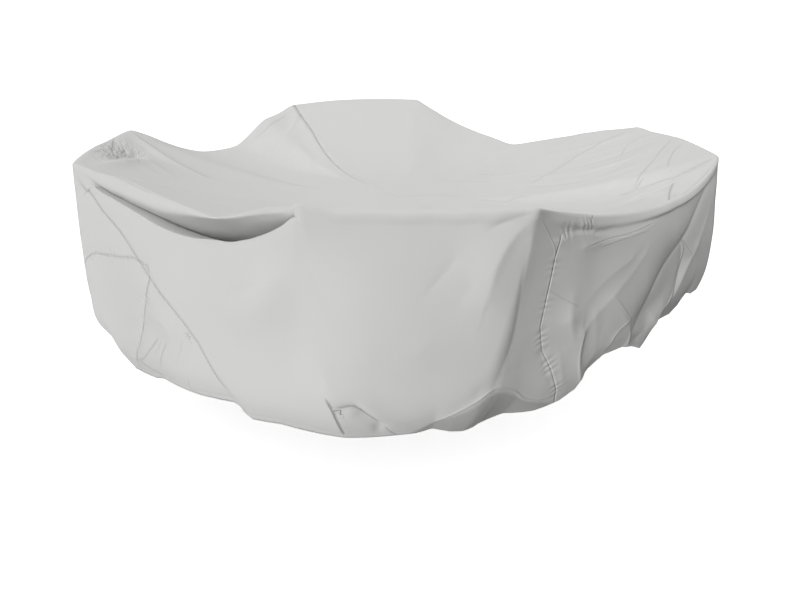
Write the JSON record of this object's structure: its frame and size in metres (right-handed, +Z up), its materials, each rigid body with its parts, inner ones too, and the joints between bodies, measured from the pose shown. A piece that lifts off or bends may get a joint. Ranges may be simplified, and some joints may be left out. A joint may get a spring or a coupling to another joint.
{
  "type": "fitted outdoor furniture cover",
  "caption": "Pale grey cloth cover for a round table with chairs, with a hollowed top, raised corners and a draped skirt with a side pocket fold.",
  "frame": {"origin": "under the cloth, at the middle of the flat part of the top, where it lies on the table", "axes": "+Z up, -Y towards the front of the set, +X to its right"},
  "size_m": [2.1146, 1.9519, 0.6527],
  "materials": {
    "cloth": "matt woven polyester, pale warm grey"
  },
  "bodies": {
    "root": {"cover_left": "cloth", "cover_right": "cloth", "side_lower_left": "cloth"}
  },
  "joints": []
}
